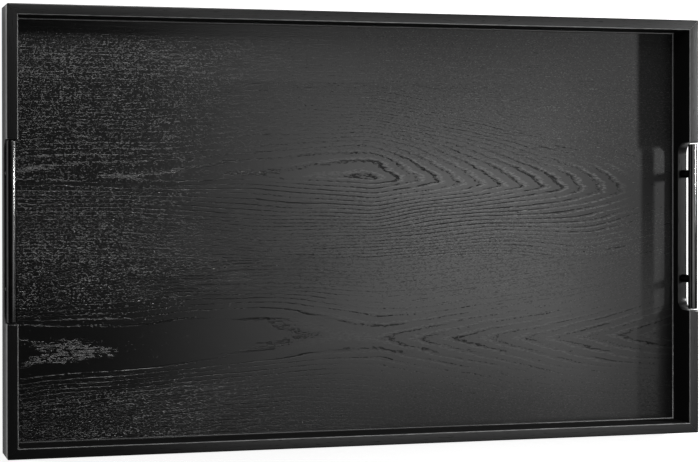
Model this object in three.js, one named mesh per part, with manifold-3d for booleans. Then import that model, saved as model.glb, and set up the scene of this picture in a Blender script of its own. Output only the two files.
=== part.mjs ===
// A black-stained wooden serving tray: four mitred walls round a veneered floor panel, with a round metal bar
// on two posts across a cut-out in each end wall.
// Millimetres, +Z up, +X along the length, +Y to the rear. The origin is the middle of the underside.
import * as THREE from 'three';
import { mergeVertices } from 'three/addons/utils/BufferGeometryUtils.js';
import Module from 'manifold-3d';

const wasm = await Module();
wasm.setup();

// Tray walls
const trayLength = 622;
const trayWidth = 375;
const trayHeight = 41;
const wallThickness = 9.2;
const edgeRound = 0.8; // round-over along the long edges of every wall
const cornerRound = 1.2; // radius of the four upright outer corners
const mitreGap = 0.1; // glue line between two walls at a corner

// Floor panel: a core between a face veneer and a backing veneer, held in a groove round the walls
const floorHeight = 7.5; // serving surface above the underside
const coreThickness = 3;
const veneerThickness = 0.6;
const leafWidth = 154.5; // face veneer leaves, laid from the front edge
const grooveDepth = 2.4;
const panelEdgeGap = 0.3; // from the panel's edge to the bottom of the groove
const grooveTopGap = 0.2; // from the serving surface to the top of the groove

// Splines that lock the mitres from inside
const splineThickness = 2.4;
const splineCover = 1.1; // least wood between a spline's slot and the faces of the wall
const splineFloorGap = 3; // from the groove up to the foot of the slot
const splineRimGap = 5; // from the top of the slot up to the rim
const splineGap = 0.3; // all round a spline in its slot

// Cut-out in each end wall
const notchLength = 152;
const notchDepth = 24.3;
const notchFillet = 10;
const mouthRound = 0.4; // added to edgeRound where the cut-out meets the rim

// Handle: a bar on two posts, with spigots that enter the bar
const barDiameter = 8.4;
const barEndGap = 1; // from each end of the bar to the side of the cut-out
const barDrop = 0.3; // top of the bar below the rim
const barEndRound = 0.8;
const handleOutset = 0.75; // handle's centre plane outward from the middle of the wall
const postSpacing = 96;
const postDiameter = 7.2;
const postFootRound = 0.4;
const saddleGap = 0.3; // from the hollowed top of a post to the bar
const spigotDiameter = 4;
const spigotDepth = 3.8; // how far a spigot enters the bar
const spigotGap = 0.3;

// Screws up through the end walls into the posts
const screwDiameter = 3;
const screwGrip = 7; // length of screw inside the post
const screwHeadDiameter = 5.6;
const screwHeadHeight = 2;
const screwHeadRound = 0.9;
const screwTipTaper = 0.7;
const headRecess = 0.5; // screw head above the underside
const counterboreGap = 0.2;
const drillGap = 0.3; // round a screw in its wall and post, and past its tip
const crossLength = 3.2; // arms of the cross recess in a screw head
const crossWidth = 0.7;
const crossDepth = 1.1;

// Fineness of the round forms
const edgeSteps = 3; // steps round a wall edge or an upright corner
const arcSteps = 5; // half the steps round a quarter turn of the cut-out
const barSides = 36;
const turnSteps = 2; // half the steps round a turned edge
const roundSides = 24;
const cutMargin = 5; // how far a cutting body runs past what it cuts

// Sizes that follow from the ones above
const halfLength = trayLength / 2;
const halfWidth = trayWidth / 2;
const panelThickness = coreThickness + 2 * veneerThickness;
const panelBottom = floorHeight - panelThickness;
const grooveTop = floorHeight + grooveTopGap;
const tongue = grooveDepth - panelEdgeGap;
const panelLength = trayLength - 2 * (wallThickness - tongue);
const panelWidth = trayWidth - 2 * (wallThickness - tongue);
const sillHeight = trayHeight - notchDepth;
const barRadius = barDiameter / 2;
const barLength = notchLength - 2 * barEndGap;
const barAxisHeight = trayHeight - barDrop - barRadius;
const screwSeat = headRecess + screwHeadHeight;
const screwTop = sillHeight + screwGrip;
const slotThickness = splineThickness + 2 * splineGap;
const slotWidth = 2 * Math.SQRT2 * (wallThickness / 2 - splineCover) - slotThickness;
const slotFoot = grooveTop + splineFloorGap;
const slotTop = trayHeight - splineRimGap;

// Finishes
const finishes = {
  wood: { color: 0x1c1b1b, roughness: 0.42, metalness: 0 },
  core: { color: 0x8a6a48, roughness: 0.8, metalness: 0 },
  metal: { color: 0x0d0d0e, roughness: 0.18, metalness: 0.6 },
  steel: { color: 0x55565a, roughness: 0.35, metalness: 0.9 },
};

// Closed solid of a geometry, to be joined or cut, without the triangles that shrink to a line at an axis
function solidOf(geometry) {
  const bare = geometry.clone();
  bare.deleteAttribute('normal');
  bare.deleteAttribute('uv');
  const merged = mergeVertices(bare, 1e-4);
  const corners = merged.index.array;
  const kept = [];
  for (let at = 0; at < corners.length; at += 3) {
    const [a, b, c] = corners.slice(at, at + 3);
    if (a !== b && b !== c && c !== a) {
      kept.push(a, b, c);
    }
  }
  return new wasm.Manifold(
    new wasm.Mesh({
      numProp: 3,
      vertProperties: new Float32Array(merged.attributes.position.array),
      triVerts: new Uint32Array(kept),
    }),
  );
}

function geometryOf(solid) {
  const mesh = solid.getMesh();
  const geometry = new THREE.BufferGeometry();
  geometry.setAttribute('position', new THREE.BufferAttribute(new Float32Array(mesh.vertProperties), 3));
  geometry.setIndex(new THREE.BufferAttribute(new Uint32Array(mesh.triVerts), 1));
  geometry.computeVertexNormals();
  return geometry;
}

// Block between two corners
function block(low, high) {
  const size = high.map((value, axis) => value - low[axis]);
  const middle = high.map((value, axis) => (value + low[axis]) / 2);
  return new THREE.BoxGeometry(...size).translate(...middle);
}

// Upright round rod centred on x, y
function rod(radius, x, y, bottom, top) {
  const height = top - bottom;
  return new THREE.CylinderGeometry(radius, radius, height, roundSides)
    .rotateX(Math.PI / 2)
    .translate(x, y, bottom + height / 2);
}

const tray = new THREE.Group();

function addPiece(name, geometry, finish) {
  const mesh = new THREE.Mesh(geometry, new THREE.MeshStandardMaterial(finishes[finish]));
  mesh.name = name;
  tray.add(mesh);
}

// Elevation of a plain wall, left long at both ends for the mitre cuts
function plainElevation(length) {
  const end = length / 2 + cutMargin;
  const shape = new THREE.Shape();
  shape.moveTo(-end, 0);
  shape.lineTo(end, 0);
  shape.lineTo(end, trayHeight);
  shape.lineTo(-end, trayHeight);
  shape.closePath();
  return shape;
}

// Elevation of an end wall, with the cut-out for the handle
function notchedElevation(length) {
  const end = length / 2 + cutMargin;
  const side = notchLength / 2;
  const mouth = edgeRound + mouthRound;
  const shape = new THREE.Shape();
  shape.moveTo(-end, 0);
  shape.lineTo(end, 0);
  shape.lineTo(end, trayHeight);
  shape.lineTo(side + mouth, trayHeight);
  shape.absarc(side + mouth, trayHeight - mouth, mouth, Math.PI / 2, Math.PI, false);
  shape.lineTo(side, sillHeight + notchFillet);
  shape.absarc(side - notchFillet, sillHeight + notchFillet, notchFillet, 0, -Math.PI / 2, true);
  shape.lineTo(notchFillet - side, sillHeight);
  shape.absarc(notchFillet - side, sillHeight + notchFillet, notchFillet, -Math.PI / 2, -Math.PI, true);
  shape.lineTo(-side, trayHeight - mouth);
  shape.absarc(-side - mouth, trayHeight - mouth, mouth, 0, Math.PI / 2, false);
  shape.lineTo(-end, trayHeight);
  shape.closePath();
  return shape;
}

// Plan of a wall with mitred ends and rounded outer corners, wider than the wall at its inner and outer faces
function mitredPlan(length, reach) {
  const setback = mitreGap / Math.SQRT2;
  const centre = length / 2 - cornerRound;
  const inner = wallThickness + cutMargin;
  const corner = [new THREE.Vector2(length / 2 - inner - setback, reach - inner)];
  for (let step = 0; step <= edgeSteps; step += 1) {
    const angle = (Math.PI / 4) * (1 + step / edgeSteps);
    const x = centre + cornerRound * Math.cos(angle) - (step === 0 ? setback : 0);
    corner.push(new THREE.Vector2(x, reach - cornerRound * (1 - Math.sin(angle))));
  }
  corner.push(new THREE.Vector2(centre, reach + cutMargin));
  const mirrored = corner.map(({ x, y }) => new THREE.Vector2(-x, y)).reverse();
  return new THREE.Shape([...corner, ...mirrored]);
}

// Slot or spline across the mitre at one end of a wall that stands at +Y
function splineBlock(end, length, reach, gap) {
  const width = slotWidth - 2 * splineGap + 2 * gap;
  const thickness = splineThickness + 2 * gap;
  const foot = slotFoot + splineGap - gap;
  const top = slotTop - splineGap + gap;
  return new THREE.BoxGeometry(width, thickness, top - foot)
    .rotateZ((-end * Math.PI) / 4)
    .translate(end * (length / 2 - wallThickness / 2), reach - wallThickness / 2, (foot + top) / 2);
}

// Wall at +Y whose outer face is at reach, as a solid
function wallSolid(elevation, length, reach) {
  const blank = new THREE.ExtrudeGeometry(elevation, {
    depth: wallThickness - 2 * edgeRound,
    bevelThickness: edgeRound,
    bevelSize: edgeRound,
    bevelOffset: -edgeRound,
    bevelSegments: edgeSteps,
    curveSegments: arcSteps,
  });
  blank.rotateX(Math.PI / 2).translate(0, reach - edgeRound, 0);
  const plan = new THREE.ExtrudeGeometry(mitredPlan(length, reach), {
    depth: trayHeight + 2 * cutMargin,
    bevelEnabled: false,
  });
  plan.translate(0, 0, -cutMargin);
  const innerFace = reach - wallThickness;
  const groove = block(
    [-length, innerFace - cutMargin, panelBottom],
    [length, innerFace + grooveDepth, grooveTop],
  );
  let wall = solidOf(blank).intersect(solidOf(plan)).subtract(solidOf(groove));
  for (const end of [-1, 1]) {
    wall = wall.subtract(solidOf(splineBlock(end, length, reach, splineGap)));
  }
  return wall;
}

// Long rails
for (const [name, turn] of [['rear_rail', 0], ['front_rail', Math.PI]]) {
  const rail = wallSolid(plainElevation(trayLength), trayLength, halfWidth);
  addPiece(name, geometryOf(rail).rotateZ(turn), 'wood');
}

// End walls, drilled and counterbored for the handle screws
const handlePlane = halfLength - wallThickness / 2 + handleOutset;
for (const [name, turn] of [['left_end_wall', Math.PI / 2], ['right_end_wall', -Math.PI / 2]]) {
  let wall = wallSolid(notchedElevation(trayWidth), trayWidth, halfLength);
  for (const side of [-1, 1]) {
    const along = (side * postSpacing) / 2;
    const counterboreRadius = screwHeadDiameter / 2 + counterboreGap;
    const hole = rod(screwDiameter / 2 + drillGap, along, handlePlane, -cutMargin, trayHeight);
    const counterbore = rod(counterboreRadius, along, handlePlane, -cutMargin, screwSeat);
    wall = wall.subtract(solidOf(hole)).subtract(solidOf(counterbore));
  }
  addPiece(name, geometryOf(wall).rotateZ(turn), 'wood');
}

// Floor panel
const coreBottom = panelBottom + veneerThickness;
const coreTop = coreBottom + coreThickness;
const panelX = panelLength / 2;
const panelY = panelWidth / 2;
addPiece('floor_backing', block([-panelX, -panelY, panelBottom], [panelX, panelY, coreBottom]), 'wood');
addPiece('floor_core', block([-panelX, -panelY, coreBottom], [panelX, panelY, coreTop]), 'core');
const leafCount = Math.ceil(panelWidth / leafWidth);
for (let leaf = 0; leaf < leafCount; leaf += 1) {
  const front = leaf * leafWidth - panelY;
  const rear = Math.min(front + leafWidth, panelY);
  addPiece(`floor_leaf_${leaf + 1}`, block([-panelX, front, coreTop], [panelX, rear, floorHeight]), 'wood');
}

// Corner splines: those at the front are the rear ones turned half round
for (const [row, rowSign, turn] of [['front', -1, Math.PI], ['rear', 1, 0]]) {
  for (const [column, columnSign] of [['left', -1], ['right', 1]]) {
    const spline = splineBlock(rowSign * columnSign, trayLength, halfWidth, 0);
    addPiece(`${row}_${column}_spline`, spline.rotateZ(turn), 'core');
  }
}

// Grip bar along Y, with blind holes underneath for the spigots
function gripBar(x) {
  const half = barLength / 2;
  const profile = new THREE.Path();
  profile.moveTo(0, -half);
  profile.lineTo(barRadius - barEndRound, -half);
  profile.absarc(barRadius - barEndRound, barEndRound - half, barEndRound, -Math.PI / 2, 0, false);
  profile.lineTo(barRadius, half - barEndRound);
  profile.absarc(barRadius - barEndRound, half - barEndRound, barEndRound, 0, Math.PI / 2, false);
  profile.lineTo(0, half);
  const turned = new THREE.LatheGeometry(profile.getPoints(turnSteps), barSides);
  let bar = solidOf(turned.translate(x, 0, barAxisHeight));
  const holeTop = barAxisHeight - barRadius + spigotDepth + spigotGap;
  for (const side of [-1, 1]) {
    const hole = rod(spigotDiameter / 2 + spigotGap, x, (side * postSpacing) / 2, sillHeight, holeTop);
    bar = bar.subtract(solidOf(hole));
  }
  return geometryOf(bar);
}

// Post from the sill of the cut-out to the bar, hollowed to the bar's round and bored for its screw
function post(x, y) {
  const radius = postDiameter / 2;
  const profile = new THREE.Path();
  profile.moveTo(0, sillHeight);
  profile.lineTo(radius - postFootRound, sillHeight);
  profile.absarc(radius - postFootRound, sillHeight + postFootRound, postFootRound, -Math.PI / 2, 0, false);
  profile.lineTo(radius, barAxisHeight);
  profile.lineTo(0, barAxisHeight);
  const turned = new THREE.LatheGeometry(profile.getPoints(turnSteps), roundSides)
    .rotateX(Math.PI / 2)
    .translate(x, y, 0);
  const saddle = new THREE.CylinderGeometry(barRadius + saddleGap, barRadius + saddleGap, barLength, barSides)
    .translate(x, y, barAxisHeight);
  const spigotTop = barAxisHeight - barRadius + spigotDepth;
  const spigot = rod(spigotDiameter / 2, x, y, sillHeight + postFootRound, spigotTop);
  const bore = rod(screwDiameter / 2 + drillGap, x, y, sillHeight - cutMargin, screwTop + drillGap);
  const body = solidOf(turned).subtract(solidOf(saddle)).add(solidOf(spigot));
  return geometryOf(body.subtract(solidOf(bore)));
}

// Pan-head screw with a cross recess, its head down in the counterbore
function screw(x, y) {
  const headRadius = screwHeadDiameter / 2;
  const shankRadius = screwDiameter / 2;
  const profile = new THREE.Path();
  const roundFrom = headRadius - screwHeadRound;
  profile.moveTo(0, headRecess);
  profile.lineTo(roundFrom, headRecess);
  profile.absarc(roundFrom, headRecess + screwHeadRound, screwHeadRound, -Math.PI / 2, 0, false);
  profile.lineTo(headRadius, screwSeat);
  profile.lineTo(shankRadius, screwSeat);
  profile.lineTo(shankRadius, screwTop - screwTipTaper);
  profile.lineTo(shankRadius - screwTipTaper, screwTop);
  profile.lineTo(0, screwTop);
  const turned = new THREE.LatheGeometry(profile.getPoints(turnSteps), roundSides)
    .rotateX(Math.PI / 2)
    .translate(x, y, 0);
  let body = solidOf(turned);
  for (const [armX, armY] of [[crossLength, crossWidth], [crossWidth, crossLength]]) {
    const arm = block(
      [x - armX / 2, y - armY / 2, headRecess - cutMargin],
      [x + armX / 2, y + armY / 2, headRecess + crossDepth],
    );
    body = body.subtract(solidOf(arm));
  }
  return geometryOf(body);
}

// Handles
for (const [column, columnSign] of [['left', -1], ['right', 1]]) {
  const x = columnSign * handlePlane;
  addPiece(`${column}_grip_bar`, gripBar(x), 'metal');
  for (const [row, rowSign] of [['front', -1], ['rear', 1]]) {
    const y = (rowSign * postSpacing) / 2;
    addPiece(`${column}_${row}_post`, post(x, y), 'metal');
    addPiece(`${column}_${row}_screw`, screw(x, y), 'steel');
  }
}

export default tray;
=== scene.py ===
import math
from collections import namedtuple

import bpy
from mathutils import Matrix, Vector


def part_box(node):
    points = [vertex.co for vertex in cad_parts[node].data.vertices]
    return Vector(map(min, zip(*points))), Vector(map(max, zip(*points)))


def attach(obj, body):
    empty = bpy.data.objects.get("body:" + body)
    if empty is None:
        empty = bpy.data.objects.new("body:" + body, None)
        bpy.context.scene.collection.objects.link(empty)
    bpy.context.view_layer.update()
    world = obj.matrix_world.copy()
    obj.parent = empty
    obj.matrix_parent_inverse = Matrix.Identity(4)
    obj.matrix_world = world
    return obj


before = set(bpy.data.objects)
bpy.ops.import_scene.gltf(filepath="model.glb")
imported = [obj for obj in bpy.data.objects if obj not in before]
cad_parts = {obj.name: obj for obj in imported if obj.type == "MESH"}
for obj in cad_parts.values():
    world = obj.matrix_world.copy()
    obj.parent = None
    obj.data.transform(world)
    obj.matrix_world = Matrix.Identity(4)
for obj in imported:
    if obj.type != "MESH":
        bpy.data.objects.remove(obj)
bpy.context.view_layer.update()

# The looks of a black wooden serving tray: stained and lacquered walls, a floor of crown-cut veneer
# leaves, black metal grips, and the studio round it. Lengths are metres, apart from those of the figure and
# the finishes, which are millimetres on the tray. There, only a BUMP, the depth of a relief, is in metres.

PER_METRE = 1000.0
X_AXIS = 0
Y_AXIS = 1
Z_AXIS = 2
WHITE = (1.0, 1.0, 1.0, 1.0)

# Camera. The photograph is 700 by 462 pixels, and its optical axis lies above the middle of the frame. The
# sensor's width is in millimetres.
IMAGE_WIDTH = 700
IMAGE_HEIGHT = 462
AXIS_ROW = 193.98
FOCAL_PIXELS = 1902.0
SENSOR_WIDTH = 36.0
CAMERA_PLACE = (-0.4699, 0.0393, 1.6157)
CAMERA_TURN = (-0.0055, -0.2790, -0.0007)

# Lights: a key at the right and to the rear, a soft panel in layers over the right half of the tray, a
# small panel over its front right corner, and a rear panel for the left half.
TRAY_MIDDLE = Vector((0.05, 0.0, 0.01))
KEY_PLACE = Vector((0.98, 0.18, 0.66))
KEY_SIZE = (0.10, 0.06)
KEY_POWER = 7.4
PANEL_PLACE = Vector((0.285, -0.012, 0.55))
PANEL_CORE = 0.16
PANEL_STEP = 0.10
PANEL_DRIFT = 0.02
PANEL_GAP = 0.001
PANEL_LAYERS = 5
PANEL_GLOW = 0.34
PANEL_HEIGHT_SHARE = 0.88
CORNER_PLACE = Vector((0.50, -0.15, 0.55))
CORNER_SIZE = 0.24
CORNER_GLOW = 0.35
REAR_PLACE = Vector((-0.05, 0.74, 1.0))
REAR_AIM = Vector((-0.20, 0.0, 0.0))
REAR_SIZE = (0.26, 0.50)
REAR_POWER = 2.8

# Studio
FLOOR_HALF = 6.0
FLOOR_HEIGHT = -0.0002
FLOOR_COLOUR = (0.82, 0.82, 0.82, 1.0)
FLOOR_ROUGHNESS = 0.9
FLOOR_WHITE = 0.9
FLOOR_GLOW = 0.32
DARK_CEILING = 0.015
HORIZON_TOP = 0.22

# What a leaf's figure gives at each place: the growth rings passed, how calm the wood is (with fewer large
# pores), how quiet (with fewer fine ones), how far the rows of pores follow the rings, and how many rings a
# millimetre across the leaf passes there.
Figure = namedtuple("Figure", "rings calm quiet along_rings rate")

# The middle leaf: arches that point right from a heart. An OFF is a distance from the axis of the arches.
HEART_X = 11.5
HEART_SOFTNESS = 0.9
ARCH_STEP = 19.5
LEFT_ARCH_STEP = 106.0
MIDDLE_AXIS_Y = 45.0
MIDDLE_AXIS_SLOPE = 0.05
BLUNT_X = (110.0, 230.0)
BLUNT_SHARE = 0.55
TIP_RADIUS = 0.9
REAR_ARM = 0.05
REAR_SPREAD = 0.0028
FRONT_ARM = 0.24
FRONT_SPREAD = 0.001
REAR_CALM_OFF = (10.0, 30.0)
RIGHT_CALM_X = (225.0, 265.0)
FRONT_CALM_OFF = (26.0, 56.0)
FRONT_CALM = 0.8
HEART_QUIET_OFF = (6.0, 22.0)
HEART_QUIET_X = (-120.0, -60.0)
MIDDLE_TURN_OFF = (4.0, 7.0)

# The front leaf: an island at the left, a saddle, and arches that point left.
ISLAND_TIP_X = (-265.0, -185.0)
ISLAND_START = 0.05
ISLAND_END = 0.40
ISLAND_LEFT_X = (-298.0, -276.0)
ISLAND_LEFT = -0.25
ISLAND_RING_X = (-190.0, 10.0)
ISLAND_RING = 0.95
ISLAND_SPREAD = 0.0021
ISLAND_HALF_WIDTH = 15.5
ISLAND_SOFTNESS = 0.5
OUTER_RING_RATE = 0.2
OUTER_RING_GROWTH = 0.0015
FIRST_LEFT_TIP_X = 30.0
LEFT_TIP_STEP = 32.0
LEFT_TIP_ARM = 0.11
LEFT_TIP_SPREAD = 0.0012
SADDLE_SOFTNESS = 0.4
SADDLE_X = (-90.0, 70.0)
FRONT_AXIS_Y = -98.0
FRONT_AXIS_X = -205.0
FRONT_AXIS_TURN = 80.0
FRONT_AXIS_SWING = 5.0
FRONT_RIGHT_X = (-150.0, 0.0)
RIGHT_CALM_OFF = (15.0, 45.0)
RIGHT_CALM = (0.4, 1.8)
RIGHT_QUIET = 0.7
RIGHT_QUIET_OFF = (22.0, 50.0)
RIGHT_QUIET_FAR = 0.1
ISLAND_QUIET_OFF = (14.0, 22.0)
ISLAND_QUIET_RIM = 0.6
ISLAND_QUIET_END_OFF = (24.0, 44.0)
ISLAND_QUIET_RIGHT = 0.3
FRONT_TURN_OFF = (12.0, 17.0)

# The rear leaf and the backing: straight grain.
STRAIGHT_RING = 3.4
STRAIGHT_DRIFT = 260.0

# What sets one leaf's finish apart: its seed, the limit that its fine pores pass, the lacquer's cover at the
# left end, the strength of its painted highlights on pale ridges and flecks, the share of the pores' slope
# that late and early wood keep at the right, and how much the rings differ in their pores.
Leaf = namedtuple("Leaf", "seed grain_limit left_cover pale_share late_slope early_slope ring_luck")
FRONT_LEAF = Leaf(seed=21.0, grain_limit=0.49, left_cover=0.36, pale_share=0.5,
                  late_slope=0.125, early_slope=0.125, ring_luck=0.9)
MIDDLE_LEAF = Leaf(seed=42.0, grain_limit=0.495, left_cover=0.6, pale_share=1.0,
                   late_slope=0.25, early_slope=1.0, ring_luck=0.9)
REAR_LEAF = Leaf(seed=63.0, grain_limit=0.475, left_cover=0.9, pale_share=0.8,
                 late_slope=0.125, early_slope=0.125, ring_luck=0.0)
BACKING_LEAF = Leaf(seed=84.0, grain_limit=0.5, left_cover=1.0, pale_share=0.3,
                    late_slope=0.125, early_slope=0.125, ring_luck=0.0)

# Noise over a face: the length and width of its lumps, its slice past the leaf's seed, and its detail.
Lumps = namedtuple("Lumps", "length width slice detail")
NOISE_MIDDLE = 0.5

# Growth rings: how they drift, jitter and fray, and the share of a ring that is early wood.
DRIFT = Lumps(length=150.0, width=45.0, slice=0.0, detail=1.0)
RING_DRIFT = 14.0
JITTER = Lumps(length=50.0, width=7.0, slice=3.0, detail=3.0)
RING_JITTER = 0.7
FRAY = Lumps(length=7.0, width=2.0, slice=4.0, detail=1.0)
RING_FRAY = 0.45
EARLY_START = (0.0, 0.04)
EARLY_END = (0.15, 0.32)

# One kind of pore: the pitch of its rows, a pore's length and half width, the shift of the rows, and its
# slice of the noise.
Pores = namedtuple("Pores", "pitch length half_width shift slice")
ROW_PITCH = 0.85
VESSELS = Pores(pitch=ROW_PITCH, length=3.0, half_width=0.48, shift=0.0, slice=7.0)
GRAIN = Pores(pitch=1.0, length=2.2, half_width=0.28, shift=0.29, slice=9.0)
FLECKS = Pores(pitch=0.85, length=1.6, half_width=0.22, shift=0.63, slice=13.0)

# Rows of pores: how they wave or follow the rings, and how many pores each kind of wood has. A pore opens
# where its noise passes a limit.
WAVE = Lumps(length=45.0, width=6.0, slice=5.0, detail=2.0)
ROW_WAVE = 4.0
ROWS_PER_RING = 5.0
RING_ROWS = ROW_PITCH * ROWS_PER_RING
ROW_STRIDE = 3.7
PORE_RAMP = 0.15
PORE_DETAIL = 1.0
LATE_PORES = 0.76
EARLY_PORES = 0.36
CALM_PORES = 0.2
BLEND_PORES = 1.6
LUCK_STRIDE = 5.7
LUCK_LENGTH = 70.0
LUCK_SLICE = 19.0
EARLY_GRAIN = 0.36
QUIET_GRAIN = 0.14
FLECK_RARITY = 0.04

# The sides and dark middles of the pores
STEEP_Y = (-175.0, 175.0)
STEEPNESS = (0.48, 0.21)
EASY_X = (-100.0, 60.0)
FLAT_X = (140.0, 220.0)
FLAT_SHARE = 0.15
SLOPE_LENGTH = 2.0
SLOPE_STRIDE = 5.3
SLOPE_SLICE = 1.0
SLOPE_NOISE = (0.35, 0.65)
SLOPE_RANGE = (0.9, 1.12)
CORE_SHARE = (0.5, 0.85)
CORE_EDGE = 0.07
GRAIN_CORE = 1.3
GRAIN_SHADE = (0.5, 0.65)

# Stain and lacquer of all the wood
STAIN_DARK = 0.003
STAIN_PALE = 0.005
STAIN_PORE = 0.003
PORE_ROUGHNESS = 0.9
LACQUER_INDEX = 1.5
FIBRE_COVER = (0.2, 0.6, 0.86, 1.0)

# Stain and lacquer of the veneer, and the painted highlights on its pale ridges and flecks
FIBRE = Lumps(length=30.0, width=0.9, slice=11.0, detail=2.0)
FIBRE_DEPTH = 0.004
CLOUD = Lumps(length=80.0, width=30.0, slice=17.0, detail=2.0)
# Painted highlights: where the pale broken ridges beside the pore lines lie, and how they are broken up
RIDGE = Lumps(length=4.0, width=1.0, slice=23.0, detail=2.0)
RIDGE_START = (0.25, 0.36)
RIDGE_END = (0.44, 0.62)
RIDGE_SHARE = (1.0, 0.0)
RIDGE_BREAKS = (0.40, 0.56)
# Grey of the painted highlights on the ridges and flecks
PAINTED_GLINT_GREY = 0.08
VENEER_SHEEN = 0.28
VENEER_GLOSS = 0.2
COVER_X = (-150.0, 250.0)
RIGHT_COVER = 0.95
FULL_COVER_DEPTH = 0.02
PORE_COVER = 0.05

# Solid wood of the walls. A FACING is how squarely a face looks into the tray, and the depths and the drop
# are shares of WALL_BUMP.
WALL_TILT = 1.7
WALL_WAVE = Lumps(length=120.0, width=20.0, slice=2.0, detail=1.0)
WALL_SWING = 8.0
WALL_PORES = Lumps(length=11.0, width=1.0, slice=5.0, detail=2.0)
WALL_PORE_CORE = (0.60, 0.66)
WALL_PORE_EDGE = (0.56, 0.70)
WALL_PORE_DEPTH = 0.3
WALL_PORE_COVER = 0.6
WALL_FIBRE = Lumps(length=40.0, width=0.8, slice=9.0, detail=2.0)
WALL_FIBRE_DEPTH = 0.10
INSIDE_FACING = (0.9, 0.97)
# Painted highlight on the inner edges of the rim: how its edge faces, the noise that breaks it up, and its
# grey
EDGE_FACING_START = (0.1, 0.35)
EDGE_FACING_END = (0.85, 0.95)
HIGHLIGHT_BREAKS = Lumps(length=9.0, width=3.0, slice=13.0, detail=3.0)
HIGHLIGHT_BREAK_NOISE = (0.3, 0.7)
HIGHLIGHT_BREAK_RANGE = (0.5, 1.0)
PAINTED_EDGE_GREY = 0.3
CROWN_HALF_WIDTH = 4.6
CROWN_DROP = 1.45
WALL_GLOSS = 0.28
WALL_INDEX = 1.7
WALL_SPECULAR = 0.2
WALL_SHEEN = 0.28
WALL_BUMP = 0.00005
SILL_Z = (24.0, 38.5)
SILL_COVER = 0.3
SILL_SHEEN = 0.5

# Black metal of the grips
RIPPLE_LUMP = (3.0, 9.0, 3.0)
RIPPLE_BUMP = 0.000006
WEAR_LUMP = (5.0, 16.0, 5.0)
WEAR_DETAIL = 4.0
WEAR_ROUGHNESS = 0.65
METAL_TONE_NOISE = (0.45, 0.75)
METAL_TONE = (0.105, 0.14)
METAL_SHEEN_NOISE = (0.35, 0.75)
METAL_SHEEN = (0.18, 0.27)
METAL_EDGE = 0.12

# Steel of the screws
MARK_LUMP = (0.5, 0.5, 0.12)
MARK_BUMP = 0.00002
STEEL_TONE = (0.48, 0.62)
STEEL_SHEEN = (0.28, 0.42)

# Plywood of the core and the splines
BOARD_LUMP = (20.0, 1.5, 0.6)
BOARD_DETAIL = 3.0
BOARD_BUMP = 0.00008
BOARD_NOISE = (0.3, 0.7)
BOARD_TONE = (0.30, 0.46)
BOARD_COLOUR = (1.0, 0.74, 0.48)
BOARD_SHEEN = (0.6, 0.8)
PLY_THICKNESS = 0.75
GLUE_LINE = (0.0, 0.14)
GLUE_TONE = (0.6, 1.0)

# Lacquer bead where the floor meets the walls, with its radius in metres
BEAD_RADIUS = 0.0012
BEAD_STEPS = 6
BEAD_LUMP = (7.0, 7.0, 2.0)
BEAD_BUMP = 0.0002
BEAD_TONE = (0.008, 0.014)
BEAD_SHEEN = (0.16, 0.26)
BEAD_SPECULAR = 1.0

# Shading
SMOOTH_ANGLE = math.radians(32)
WELD_DISTANCE = 0.000002
FLAT_AREA = 0.00001
ROUND_AREA = 1.0


class Field:
    """A value that varies over a surface: one output socket of a node tree, with arithmetic."""

    def __init__(self, tree, socket):
        self.tree = tree
        self.socket = socket

    def math(self, operation, *others):
        node = self.tree.nodes.new("ShaderNodeMath")
        node.operation = operation
        for socket, value in zip(node.inputs, (self, *others)):
            put(value, socket)
        return Field(self.tree, node.outputs[0])

    def __add__(self, other):
        return self.math("ADD", other)

    def __sub__(self, other):
        return self.math("SUBTRACT", other)

    def __mul__(self, other):
        return self.math("MULTIPLY", other)

    def __truediv__(self, other):
        return self.math("DIVIDE", other)

    def __neg__(self):
        return self.math("MULTIPLY", -1.0)

    def root(self):
        return self.math("SQRT")

    def size(self):
        return self.math("ABSOLUTE")

    def above(self, limit):
        return self.math("GREATER_THAN", limit)

    def most(self, other):
        """The larger of the two."""
        return self.math("MAXIMUM", other)

    def inverse(self):
        """1 where this field is 0, and 0 where it is 1."""
        return -self + 1.0

    def rise(self, low, high, start=0.0, end=1.0):
        """A smooth step from start, at low, to end, at high."""
        node = self.tree.nodes.new("ShaderNodeMapRange")
        node.interpolation_type = "SMOOTHSTEP"
        values = {"Value": self, "From Min": low, "From Max": high, "To Min": start, "To Max": end}
        for name, value in values.items():
            put(value, node.inputs[name])
        return Field(self.tree, node.outputs["Result"])

    def fall(self, low, high):
        """A smooth step from 1, at low, to 0, at high."""
        return self.rise(low, high, 1.0, 0.0)

    def mix(self, first, second):
        """first where this field is 0, second where it is 1."""
        node = self.tree.nodes.new("ShaderNodeMix")
        put(self, node.inputs[0])
        put(first, node.inputs[2])
        put(second, node.inputs[3])
        return Field(self.tree, node.outputs[0])


def put(value, socket):
    """Joins a field to a socket, or sets a plain value there."""
    if isinstance(value, Field):
        value.tree.links.new(value.socket, socket)
    else:
        socket.default_value = value


def place_mm(tree):
    """The place on the object, in millimetres, as three fields."""
    coordinates = tree.nodes.new("ShaderNodeTexCoord")
    parts = tree.nodes.new("ShaderNodeSeparateXYZ")
    tree.links.new(coordinates.outputs["Object"], parts.inputs[0])
    return [Field(tree, socket) * PER_METRE for socket in parts.outputs]


def facing(tree):
    """The three parts of the surface's own direction."""
    geometry = tree.nodes.new("ShaderNodeNewGeometry")
    parts = tree.nodes.new("ShaderNodeSeparateXYZ")
    tree.links.new(geometry.outputs["True Normal"], parts.inputs[0])
    return [Field(tree, socket) for socket in parts.outputs]


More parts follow.
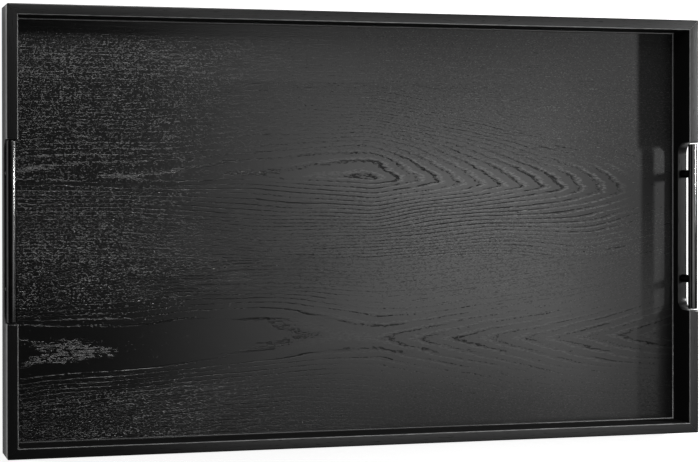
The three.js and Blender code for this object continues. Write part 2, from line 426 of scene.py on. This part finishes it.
def noise(x, y, z, detail=2.0, roughness=0.5):
    """Soft noise about 0.5, one lump to a unit of its coordinates."""
    tree = x.tree
    joined = tree.nodes.new("ShaderNodeCombineXYZ")
    for value, socket in zip((x, y, z), joined.inputs):
        put(value, socket)
    node = tree.nodes.new("ShaderNodeTexNoise")
    node.inputs["Scale"].default_value = 1.0
    node.inputs["Detail"].default_value = detail
    node.inputs["Roughness"].default_value = roughness
    tree.links.new(joined.outputs[0], node.inputs["Vector"])
    return Field(tree, node.outputs[0])


def lumpy(along, across, lumps, seed=0.0):
    """Soft noise about 0.5 over a face."""
    return noise(along / lumps.length, across / lumps.width, seed + lumps.slice, lumps.detail)


def wander(along, across, lumps, seed=0.0):
    """Soft noise about zero over a face."""
    return lumpy(along, across, lumps, seed) - NOISE_MIDDLE


def lumpy_solid(place, lump, **options):
    """Soft noise about 0.5 through a solid, with the lengths of its lumps along x, y and z."""
    x, y, z = (part / length for part, length in zip(place, lump))
    return noise(x, y, z, **options)


def grey(level):
    """A grey colour, from a number or a field."""
    if isinstance(level, Field):
        node = level.tree.nodes.new("ShaderNodeCombineColor")
        for socket in node.inputs:
            put(level, socket)
        return Field(level.tree, node.outputs[0])
    return (level, level, level, 1.0)


def new_material(name):
    """A new material, its node tree and its shader."""
    material = bpy.data.materials.new(name)
    material.use_nodes = True
    return material, material.node_tree, material.node_tree.nodes["Principled BSDF"]


def bump(tree, shader, height, depth, inputs=("Normal",)):
    """Raises the surface by height times depth, in metres."""
    node = tree.nodes.new("ShaderNodeBump")
    node.inputs["Distance"].default_value = depth
    put(height, node.inputs["Height"])
    for name in inputs:
        tree.links.new(node.outputs[0], shader.inputs[name])


def lacquered(tree, shader, stain, sheen, cover, height, depth, gloss, index=LACQUER_INDEX):
    """Black stained wood with a broad sheen, under a lacquer that covers it apart from its open pores."""
    put(grey(stain), shader.inputs["Base Color"])
    put(sheen, shader.inputs["Roughness"])
    put(cover, shader.inputs["Coat Weight"])
    shader.inputs["Coat Roughness"].default_value = gloss
    shader.inputs["Coat IOR"].default_value = index
    bump(tree, shader, height, depth, ("Normal", "Coat Normal"))


def rounded(distance, radius):
    """The size of a distance, with its corner at zero rounded off."""
    return (distance * distance + radius * radius).root() - radius


def middle_figure(x, y):
    """Nested arches that point right, steep at the rear side and long and shallow at the front side."""
    right = x - HEART_X
    rings_along = (right / ARCH_STEP).math("SMOOTH_MAX", -right / LEFT_ARCH_STEP, HEART_SOFTNESS)
    off_axis = y - MIDDLE_AXIS_Y + x.most(0.0) * MIDDLE_AXIS_SLOPE
    blunt = x.rise(*BLUNT_X, 1.0, BLUNT_SHARE)
    pointed = blunt * rounded(off_axis, TIP_RADIUS)
    square = off_axis * off_axis
    rear = pointed * REAR_ARM + square * REAR_SPREAD
    front = pointed * FRONT_ARM + square * FRONT_SPREAD
    calm = off_axis.rise(*REAR_CALM_OFF).most(x.rise(*RIGHT_CALM_X))
    return Figure(
        rings=rings_along + off_axis.above(0.0).mix(front, rear),
        calm=calm.most((-off_axis).rise(*FRONT_CALM_OFF, 0.0, FRONT_CALM)),
        quiet=off_axis.size().fall(*HEART_QUIET_OFF) * x.rise(*HEART_QUIET_X),
        along_rings=(-off_axis).rise(*MIDDLE_TURN_OFF),
        rate=blunt * FRONT_ARM + off_axis.size() * (2.0 * FRONT_SPREAD),
    )


def front_rings_along(x):
    """The rings passed along the axis of the front leaf, from the island over the saddle to the arches."""
    island = x.rise(*ISLAND_TIP_X, ISLAND_START, ISLAND_END) + x.rise(*ISLAND_LEFT_X, ISLAND_LEFT, 0.0)
    from_left = island + x.rise(*ISLAND_RING_X) * ISLAND_RING
    from_right = (x - FIRST_LEFT_TIP_X) / -LEFT_TIP_STEP + 1.0
    return from_left.math("SMOOTH_MIN", from_right, SADDLE_SOFTNESS)


def front_figure(x, y):
    """A long island at the left, and arches that point left over the right half."""
    swing = ((x - FRONT_AXIS_X) / FRONT_AXIS_TURN).math("SINE") * FRONT_AXIS_SWING
    off_axis = y - FRONT_AXIS_Y - swing
    distance = off_axis.size()
    square = off_axis * off_axis
    past = (distance - ISLAND_HALF_WIDTH).most(-ISLAND_HALF_WIDTH / 2)
    outer = past * OUTER_RING_RATE + past * past * OUTER_RING_GROWTH
    round_island = (square * ISLAND_SPREAD).math("SMOOTH_MAX", outer, ISLAND_SOFTNESS)
    arches = rounded(off_axis, TIP_RADIUS) * LEFT_TIP_ARM + square * LEFT_TIP_SPREAD
    outer_rate = past * (2.0 * OUTER_RING_GROWTH) + OUTER_RING_RATE
    arch_rate = distance * (2.0 * LEFT_TIP_SPREAD) + LEFT_TIP_ARM
    right_quiet = x.rise(*FRONT_RIGHT_X, 0.0, RIGHT_QUIET)
    right_quiet = right_quiet * distance.rise(*RIGHT_QUIET_OFF, 1.0, RIGHT_QUIET_FAR)
    left_quiet = distance.rise(*ISLAND_QUIET_OFF, 1.0, ISLAND_QUIET_RIM)
    left_quiet = left_quiet * distance.fall(*ISLAND_QUIET_END_OFF)
    left_quiet = left_quiet * x.rise(*FRONT_RIGHT_X, 1.0, ISLAND_QUIET_RIGHT)
    past_saddle = x.rise(*SADDLE_X)
    return Figure(
        rings=front_rings_along(x) + past_saddle.mix(round_island, arches),
        calm=x.rise(*FRONT_RIGHT_X) * distance.rise(*RIGHT_CALM_OFF, *RIGHT_CALM),
        quiet=right_quiet.most(left_quiet),
        along_rings=distance.rise(*FRONT_TURN_OFF),
        rate=past_saddle.mix(outer_rate, arch_rate),
    )


def straight_figure(x, y):
    """Straight grain with a slow drift, calm all over."""
    nowhere = x * 0.0
    rings = y / STRAIGHT_RING + x / STRAIGHT_DRIFT
    return Figure(rings=rings, calm=nowhere + 1.0, quiet=nowhere, along_rings=nowhere, rate=nowhere)


def growth(x, y, figure_at, seed):
    """A leaf's figure with uneven rings, the share of a ring passed at each place, and its early wood."""
    figure = figure_at(x, y + wander(x, y, DRIFT, seed) * RING_DRIFT)
    rings = figure.rings + wander(x, y, JITTER, seed) * RING_JITTER
    fray = wander(x, y, FRAY, seed) * RING_FRAY * figure.along_rings.inverse()
    phase = (rings + fray).math("FRACT")
    early = phase.rise(*EARLY_START) * phase.fall(*EARLY_END)
    return figure._replace(rings=rings), phase, early


def pore_slope(x, y, early, along_rings, leaf):
    """How steep the pores are: less to the rear and the right, and level where the rows turn to the rings."""
    slope = y.rise(*STEEP_Y, *STEEPNESS) * x.rise(*EASY_X, 1.0, early.mix(leaf.late_slope, leaf.early_slope))
    slope = slope * x.rise(*FLAT_X, 1.0, FLAT_SHARE)
    return slope * ((along_rings - 0.5) * 2.0).size()


def pore_rows(x, rows, kind, seed, limit, steepness, stretch, core_share):
    """Grooves in rows along x: how deep the nearest one is here, in millimetres, and how near its bottom."""
    noise_slice = seed + kind.slice
    across = (rows + kind.shift) / kind.pitch
    row = across.math("FLOOR")
    off_middle = ((across - row - 0.5) * kind.pitch).size()
    opening = noise(x / kind.length, row * ROW_STRIDE, noise_slice, PORE_DETAIL) - limit
    half = opening.rise(0.0, PORE_RAMP) * stretch * kind.half_width
    slope_slice = noise_slice + SLOPE_SLICE
    unevenness = noise(x / kind.length / SLOPE_LENGTH, row * SLOPE_STRIDE, slope_slice, PORE_DETAIL)
    slope = unevenness.rise(*SLOPE_NOISE, *SLOPE_RANGE) * steepness / stretch
    groove = (half - off_middle).most(0.0) * slope
    core = (half * core_share - off_middle).rise(0.0, CORE_EDGE)
    return groove, core


def open_pores(x, y, figure, early, leaf):
    """The depth of a leaf's pores, in millimetres, their dark middles, and the middles of the flecks."""
    along_rings = figure.along_rings
    wavy = y + wander(x, y, WAVE, leaf.seed) * ROW_WAVE
    rows = along_rings.mix(wavy, figure.rings * RING_ROWS)
    stretch = along_rings.mix(1.0, figure.rate * RING_ROWS)
    steepness = pore_slope(x, y, early, along_rings, leaf)
    core_share = x.rise(*EASY_X, *CORE_SHARE)
    ring = figure.rings.math("FLOOR")
    luck = noise(ring * LUCK_STRIDE, x / LUCK_LENGTH, leaf.seed + LUCK_SLICE, PORE_DETAIL) - NOISE_MIDDLE
    vessel_limit = early.mix(LATE_PORES, EARLY_PORES) + figure.calm * CALM_PORES + luck * leaf.ring_luck
    vessel_limit = vessel_limit + along_rings * along_rings.inverse() * BLEND_PORES
    grain_limit = early.mix(leaf.grain_limit, EARLY_GRAIN) + figure.quiet * QUIET_GRAIN
    fleck_limit = grain_limit + FLECK_RARITY
    vessel, core = pore_rows(x, rows, VESSELS, leaf.seed, vessel_limit, steepness, stretch, core_share)
    grain, grain_core = pore_rows(x, rows, GRAIN, leaf.seed, grain_limit, steepness, stretch, GRAIN_CORE)
    fleck, fleck_core = pore_rows(x, rows, FLECKS, leaf.seed, fleck_limit, steepness, stretch, core_share)
    groove = vessel.most(grain).most(fleck)
    core = core.most(grain_core * x.rise(*EASY_X) * figure.calm.mix(*GRAIN_SHADE))
    return groove, core, fleck_core


def veneer_stain(x, y, calm, phase, core, fleck_core, leaf):
    """Black stain with painted highlights: paler at the right on the flecks and on broken ridges beside the
    pore lines.
    """
    cloud = lumpy(x, y, CLOUD, leaf.seed)
    # Painted highlight: ridges and flecks at the right get a paler grey in place of glints.
    glint_ridge = phase.rise(*RIDGE_START) * phase.fall(*RIDGE_END) * calm.mix(*RIDGE_SHARE)
    glint_ridge = glint_ridge * lumpy(x, y, RIDGE, leaf.seed).rise(*RIDGE_BREAKS)
    pale = glint_ridge.most(fleck_core) * core.inverse() * x.rise(*EASY_X) * leaf.pale_share
    return pale.mix(core.mix(cloud.mix(STAIN_DARK, STAIN_PALE), STAIN_PORE), PAINTED_GLINT_GREY)


def veneer(name, figure_at, leaf):
    """Black stained open-pored veneer: rows of pores follow the growth rings, and the rest is smooth."""
    material, tree, shader = new_material(name)
    x, y, _ = place_mm(tree)
    figure, phase, early = growth(x, y, figure_at, leaf.seed)
    groove, core, fleck_core = open_pores(x, y, figure, early, leaf)
    stain = veneer_stain(x, y, figure.calm, phase, core, fleck_core, leaf)
    fibre = lumpy(x, y, FIBRE, leaf.seed)
    flat_cover = x.rise(*COVER_X, leaf.left_cover, RIGHT_COVER) * fibre.rise(*FIBRE_COVER)
    cover = core.mix(groove.rise(0.0, FULL_COVER_DEPTH).mix(flat_cover, 1.0), PORE_COVER)
    sheen = core.mix(VENEER_SHEEN, PORE_ROUGHNESS)
    height = fibre * FIBRE_DEPTH - groove
    lacquered(tree, shader, stain, sheen, cover, height, 1.0 / PER_METRE, VENEER_GLOSS)
    return material


def wall_wood(name, wall, grain_axis):
    """Black stained solid wood with straight fine pores, a slightly crowned rim, and a painted highlight
    along the rim's inner edges.
    """
    material, tree, shader = new_material(name)
    place = place_mm(tree)
    across_axis = Y_AXIS if grain_axis == X_AXIS else X_AXIS
    along = place[grain_axis]
    across = place[across_axis]
    up = place[Z_AXIS]
    side = across + up * WALL_TILT
    pores = lumpy(along, side + wander(along, side, WALL_WAVE) * WALL_SWING, WALL_PORES)
    core = pores.rise(*WALL_PORE_CORE)
    fibre = lumpy(along, side, WALL_FIBRE)
    high = up.rise(*SILL_Z)
    inward = -(facing(tree)[across_axis] * across.math("SIGN"))
    inside = inward.rise(*INSIDE_FACING)
    # Painted highlight: the inner edges of the rim above the sill are made pale, in broken patches.
    highlight_breaks = lumpy(along, side, HIGHLIGHT_BREAKS).rise(*HIGHLIGHT_BREAK_NOISE, *HIGHLIGHT_BREAK_RANGE)
    painted_highlight = inward.rise(*EDGE_FACING_START) * inward.fall(*EDGE_FACING_END) * highlight_breaks * high
    stain = painted_highlight.mix(core.mix(fibre.mix(STAIN_DARK, STAIN_PALE), STAIN_PORE), PAINTED_EDGE_GREY)
    cover = inside.mix(core.mix(fibre.rise(*FIBRE_COVER), WALL_PORE_COVER), 0.0) * high.mix(SILL_COVER, 1.0)
    sheen = inside.mix(core.mix(high.mix(SILL_SHEEN, WALL_SHEEN), PORE_ROUGHNESS), PORE_ROUGHNESS)
    low_corner, high_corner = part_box(wall)
    middle = PER_METRE * (low_corner[across_axis] + high_corner[across_axis]) / 2
    off_middle = (across.size() - middle) / CROWN_HALF_WIDTH
    crown = off_middle * off_middle * -CROWN_DROP
    height = fibre * WALL_FIBRE_DEPTH - pores.rise(*WALL_PORE_EDGE) * WALL_PORE_DEPTH + crown
    lacquered(tree, shader, stain, sheen, cover, height, WALL_BUMP, WALL_GLOSS, WALL_INDEX)
    shader.inputs["Specular IOR Level"].default_value = WALL_SPECULAR
    return material


def black_metal():
    """Smooth black plated metal with a faint ripple and a little handling wear."""
    material, tree, shader = new_material("black_metal_finish")
    place = place_mm(tree)
    wear = lumpy_solid(place, WEAR_LUMP, detail=WEAR_DETAIL, roughness=WEAR_ROUGHNESS)
    shader.inputs["Metallic"].default_value = 1.0
    put(grey(wear.rise(*METAL_TONE_NOISE, *METAL_TONE)), shader.inputs["Base Color"])
    put(wear.rise(*METAL_SHEEN_NOISE, *METAL_SHEEN), shader.inputs["Roughness"])
    shader.inputs["Specular Tint"].default_value = grey(METAL_EDGE)
    bump(tree, shader, lumpy_solid(place, RIPPLE_LUMP), RIPPLE_BUMP)
    return material


def screw_steel():
    """Zinc-plated steel with fine turning marks."""
    material, tree, shader = new_material("screw_steel_finish")
    marks = lumpy_solid(place_mm(tree), MARK_LUMP)
    shader.inputs["Metallic"].default_value = 1.0
    put(grey(marks.mix(*STEEL_TONE)), shader.inputs["Base Color"])
    put(marks.mix(*STEEL_SHEEN), shader.inputs["Roughness"])
    bump(tree, shader, marks, MARK_BUMP)
    return material


def core_board():
    """Plain plywood: pale layers with darker glue lines and a fine fibre."""
    material, tree, shader = new_material("core_board_finish")
    place = place_mm(tree)
    fibre = lumpy_solid(place, BOARD_LUMP, detail=BOARD_DETAIL)
    glue = (place[Z_AXIS] / PLY_THICKNESS).math("FRACT").rise(*GLUE_LINE, *GLUE_TONE)
    tone = fibre.rise(*BOARD_NOISE, *BOARD_TONE) * glue
    colour = tree.nodes.new("ShaderNodeCombineColor")
    for socket, share in zip(colour.inputs, BOARD_COLOUR):
        put(tone * share, socket)
    tree.links.new(colour.outputs[0], shader.inputs["Base Color"])
    put(fibre.mix(*BOARD_SHEEN), shader.inputs["Roughness"])
    bump(tree, shader, fibre, BOARD_BUMP)
    return material


def lacquer():
    """Black lacquer that has run into the corner."""
    material, tree, shader = new_material("lacquer_bead_finish")
    lumps = lumpy_solid(place_mm(tree), BEAD_LUMP)
    put(grey(lumps.mix(*BEAD_TONE)), shader.inputs["Base Color"])
    put(lumps.mix(*BEAD_SHEEN), shader.inputs["Roughness"])
    shader.inputs["Specular IOR Level"].default_value = BEAD_SPECULAR
    bump(tree, shader, lumps, BEAD_BUMP)
    return material


def compare(group, measure, operation, limit):
    """Whether a measure of a face or an edge is over or under a limit."""
    node = group.nodes.new("FunctionNodeCompare")
    node.operation = operation
    node.inputs[1].default_value = limit
    group.links.new(measure, node.inputs[0])
    return node.outputs[0]


def smooth_group(name, flat_area):
    """A modifier that welds a faceted solid and shades it smooth, apart from sharp edges and large flats."""
    group = bpy.data.node_groups.new(name, "GeometryNodeTree")
    for direction in ("INPUT", "OUTPUT"):
        group.interface.new_socket("Geometry", in_out=direction, socket_type="NodeSocketGeometry")
    start = group.nodes.new("NodeGroupInput")
    plain = group.nodes.new("GeometryNodeRemoveAttribute")
    plain.inputs["Name"].default_value = "custom_normal"
    weld = group.nodes.new("GeometryNodeMergeByDistance")
    weld.inputs["Distance"].default_value = WELD_DISTANCE
    flatten = group.nodes.new("GeometryNodeSetShadeSmooth")
    flatten.inputs["Shade Smooth"].default_value = False
    smooth = group.nodes.new("GeometryNodeSetShadeSmooth")
    area = group.nodes.new("GeometryNodeInputMeshFaceArea").outputs[0]
    group.links.new(compare(group, area, "LESS_THAN", flat_area), smooth.inputs["Selection"])
    sharpen = group.nodes.new("GeometryNodeSetShadeSmooth")
    sharpen.domain = "EDGE"
    sharpen.inputs["Shade Smooth"].default_value = False
    angle = group.nodes.new("GeometryNodeInputMeshEdgeAngle").outputs["Unsigned Angle"]
    group.links.new(compare(group, angle, "GREATER_THAN", SMOOTH_ANGLE), sharpen.inputs["Selection"])
    end = group.nodes.new("NodeGroupOutput")
    steps = (start, plain, weld, flatten, smooth, sharpen, end)
    for step, following in zip(steps, steps[1:]):
        group.links.new(step.outputs[0], following.inputs["Geometry"])
    return group


def dress(name, material, smoothing):
    """Gives a CAD node its finish, and smooth shading where its faces stand for a curve."""
    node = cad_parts[name]
    node.data.materials.clear()
    node.data.materials.append(material)
    modifier = node.modifiers.new(smoothing.name, "NODES")
    modifier.node_group = smoothing


def dress_nodes():
    """Gives every CAD node its finish."""
    flat_smoothing = smooth_group("smooth_edges", FLAT_AREA)
    round_smoothing = smooth_group("smooth_rounds", ROUND_AREA)
    rail_wood = wall_wood("rail_wood_finish", "rear_rail", X_AXIS)
    end_wood = wall_wood("end_wood_finish", "right_end_wall", Y_AXIS)
    metal = black_metal()
    steel = screw_steel()
    board = core_board()
    finishes = {
        "front_rail": rail_wood,
        "rear_rail": rail_wood,
        "left_end_wall": end_wood,
        "right_end_wall": end_wood,
        "floor_leaf_1": veneer("front_leaf_finish", front_figure, FRONT_LEAF),
        "floor_leaf_2": veneer("middle_leaf_finish", middle_figure, MIDDLE_LEAF),
        "floor_leaf_3": veneer("rear_leaf_finish", straight_figure, REAR_LEAF),
        "floor_backing": veneer("backing_finish", straight_figure, BACKING_LEAF),
        "floor_core": board,
    }
    for end in ("left", "right"):
        finishes[f"{end}_grip_bar"] = metal
        for side in ("front", "rear"):
            finishes[f"{side}_{end}_spline"] = board
            finishes[f"{end}_{side}_post"] = metal
            finishes[f"{end}_{side}_screw"] = steel
    for name, material in finishes.items():
        dress(name, material, round_smoothing if material in (metal, steel) else flat_smoothing)


def bead_section():
    """The bead's hollow triangle, as distances out from the wall and up from the floor."""
    section = [(0.0, 0.0)]
    for step in range(BEAD_STEPS + 1):
        turn = math.pi + math.pi / 2 * step / BEAD_STEPS
        section.append((BEAD_RADIUS * (1 + math.cos(turn)), BEAD_RADIUS * (1 + math.sin(turn))))
    return section


def lacquer_bead():
    """A thin concave bead round the foot of the inside walls."""
    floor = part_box("floor_leaf_2")[1].z
    low = Vector((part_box("left_end_wall")[1].x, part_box("front_rail")[1].y))
    high = Vector((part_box("right_end_wall")[0].x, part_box("rear_rail")[0].y))
    rings = []
    for out, up in bead_section():
        left, right = low.x + out, high.x - out
        front, rear = low.y + out, high.y - out
        corners = ((left, front), (right, front), (right, rear), (left, rear))
        rings.append([(x, y, floor + up) for x, y in corners])
    points = [point for ring in rings for point in ring]
    sides = len(rings[0])
    faces = []
    for ring in range(len(rings)):
        here = sides * ring
        there = sides * ((ring + 1) % len(rings))
        for corner in range(sides):
            turn = (corner + 1) % sides
            faces.append((here + corner, there + corner, there + turn, here + turn))
    mesh = bpy.data.meshes.new("lacquer_bead")
    mesh.from_pydata(points, [], faces)
    mesh.shade_smooth()
    mesh.materials.append(lacquer())
    bead = bpy.data.objects.new("lacquer_bead", mesh)
    bpy.context.scene.collection.objects.link(bead)
    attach(bead, "root")


def add_camera():
    """The photograph's camera, with its axis shifted up from the middle of the frame."""
    data = bpy.data.cameras.new("camera")
    data.sensor_width = SENSOR_WIDTH
    data.lens = SENSOR_WIDTH * FOCAL_PIXELS / IMAGE_WIDTH
    data.shift_y = (AXIS_ROW - IMAGE_HEIGHT / 2) / IMAGE_WIDTH
    camera = bpy.data.objects.new("camera", data)
    camera.location = CAMERA_PLACE
    camera.rotation_mode = "ZXY"
    camera.rotation_euler = CAMERA_TURN
    bpy.context.scene.collection.objects.link(camera)
    bpy.context.scene.camera = camera


def add_light(name, place, aim, sizes, power):
    """An oblong area light that the camera doesn't see."""
    data = bpy.data.lights.new(name, "AREA")
    data.shape = "RECTANGLE"
    data.size, data.size_y = sizes
    data.energy = power
    light = bpy.data.objects.new(name, data)
    light.location = place
    light.rotation_euler = (aim - place).to_track_quat("-Z", "Y").to_euler()
    light.visible_camera = False
    bpy.context.scene.collection.objects.link(light)


def add_panel(name, place, sizes, glow):
    """A light that faces straight down, with its power worked out from its brightness."""
    below = Vector((place.x, place.y, 0.0))
    add_light(name, place, below, sizes, math.pi * glow * sizes[0] * sizes[1])


def add_soft_panel():
    """A soft-edged overhead panel: oblongs of growing size, one over the other, all of one brightness."""
    for layer in range(PANEL_LAYERS):
        size = PANEL_CORE + PANEL_STEP * layer
        place = PANEL_PLACE + Vector((-PANEL_DRIFT * layer, 0.0, PANEL_GAP * layer))
        add_panel(f"panel_{layer}", place, (size, PANEL_HEIGHT_SHARE * size), PANEL_GLOW)


def add_floor():
    """A pale floor that takes the shadow, shows white to the eye and glows a little in gloss."""
    corners = [(-1, -1), (1, -1), (1, 1), (-1, 1)]
    mesh = bpy.data.meshes.new("studio_floor")
    mesh.from_pydata([(FLOOR_HALF * x, FLOOR_HALF * y, FLOOR_HEIGHT) for x, y in corners], [], [(0, 1, 2, 3)])
    material, tree, shader = new_material("studio_floor")
    shader.inputs["Base Color"].default_value = FLOOR_COLOUR
    shader.inputs["Roughness"].default_value = FLOOR_ROUGHNESS
    shader.inputs["Specular IOR Level"].default_value = 0.0
    shader.inputs["Emission Color"].default_value = WHITE
    path = tree.nodes.new("ShaderNodeLightPath")
    camera, glossy = (Field(tree, path.outputs[f"Is {kind} Ray"]) for kind in ("Camera", "Glossy"))
    put(camera * FLOOR_WHITE + glossy * FLOOR_GLOW, shader.inputs["Emission Strength"])
    mesh.materials.append(material)
    floor = bpy.data.objects.new("studio_floor", mesh)
    bpy.context.scene.collection.objects.link(floor)


def add_world():
    """A dark ceiling over a white horizon, and white wherever the camera looks past the floor."""
    world = bpy.data.worlds.new("studio")
    world.use_nodes = True
    bpy.context.scene.world = world
    tree = world.node_tree
    coordinates = tree.nodes.new("ShaderNodeTexCoord")
    parts = tree.nodes.new("ShaderNodeSeparateXYZ")
    tree.links.new(coordinates.outputs["Generated"], parts.inputs[0])
    sky = Field(tree, parts.outputs[2]).rise(0.0, HORIZON_TOP, 1.0, DARK_CEILING)
    path = tree.nodes.new("ShaderNodeLightPath")
    seen = Field(tree, path.outputs["Is Camera Ray"])
    background = tree.nodes["Background"]
    put(sky.most(seen), background.inputs["Strength"])
    background.inputs["Color"].default_value = WHITE


add_camera()
dress_nodes()
lacquer_bead()
add_light("key", KEY_PLACE, TRAY_MIDDLE, KEY_SIZE, KEY_POWER)
add_soft_panel()
add_panel("corner_panel", CORNER_PLACE, (CORNER_SIZE, CORNER_SIZE), CORNER_GLOW)
add_light("rear_panel", REAR_PLACE, REAR_AIM, REAR_SIZE, REAR_POWER)
add_floor()
add_world()
bpy.context.scene.view_settings.view_transform = "Standard"
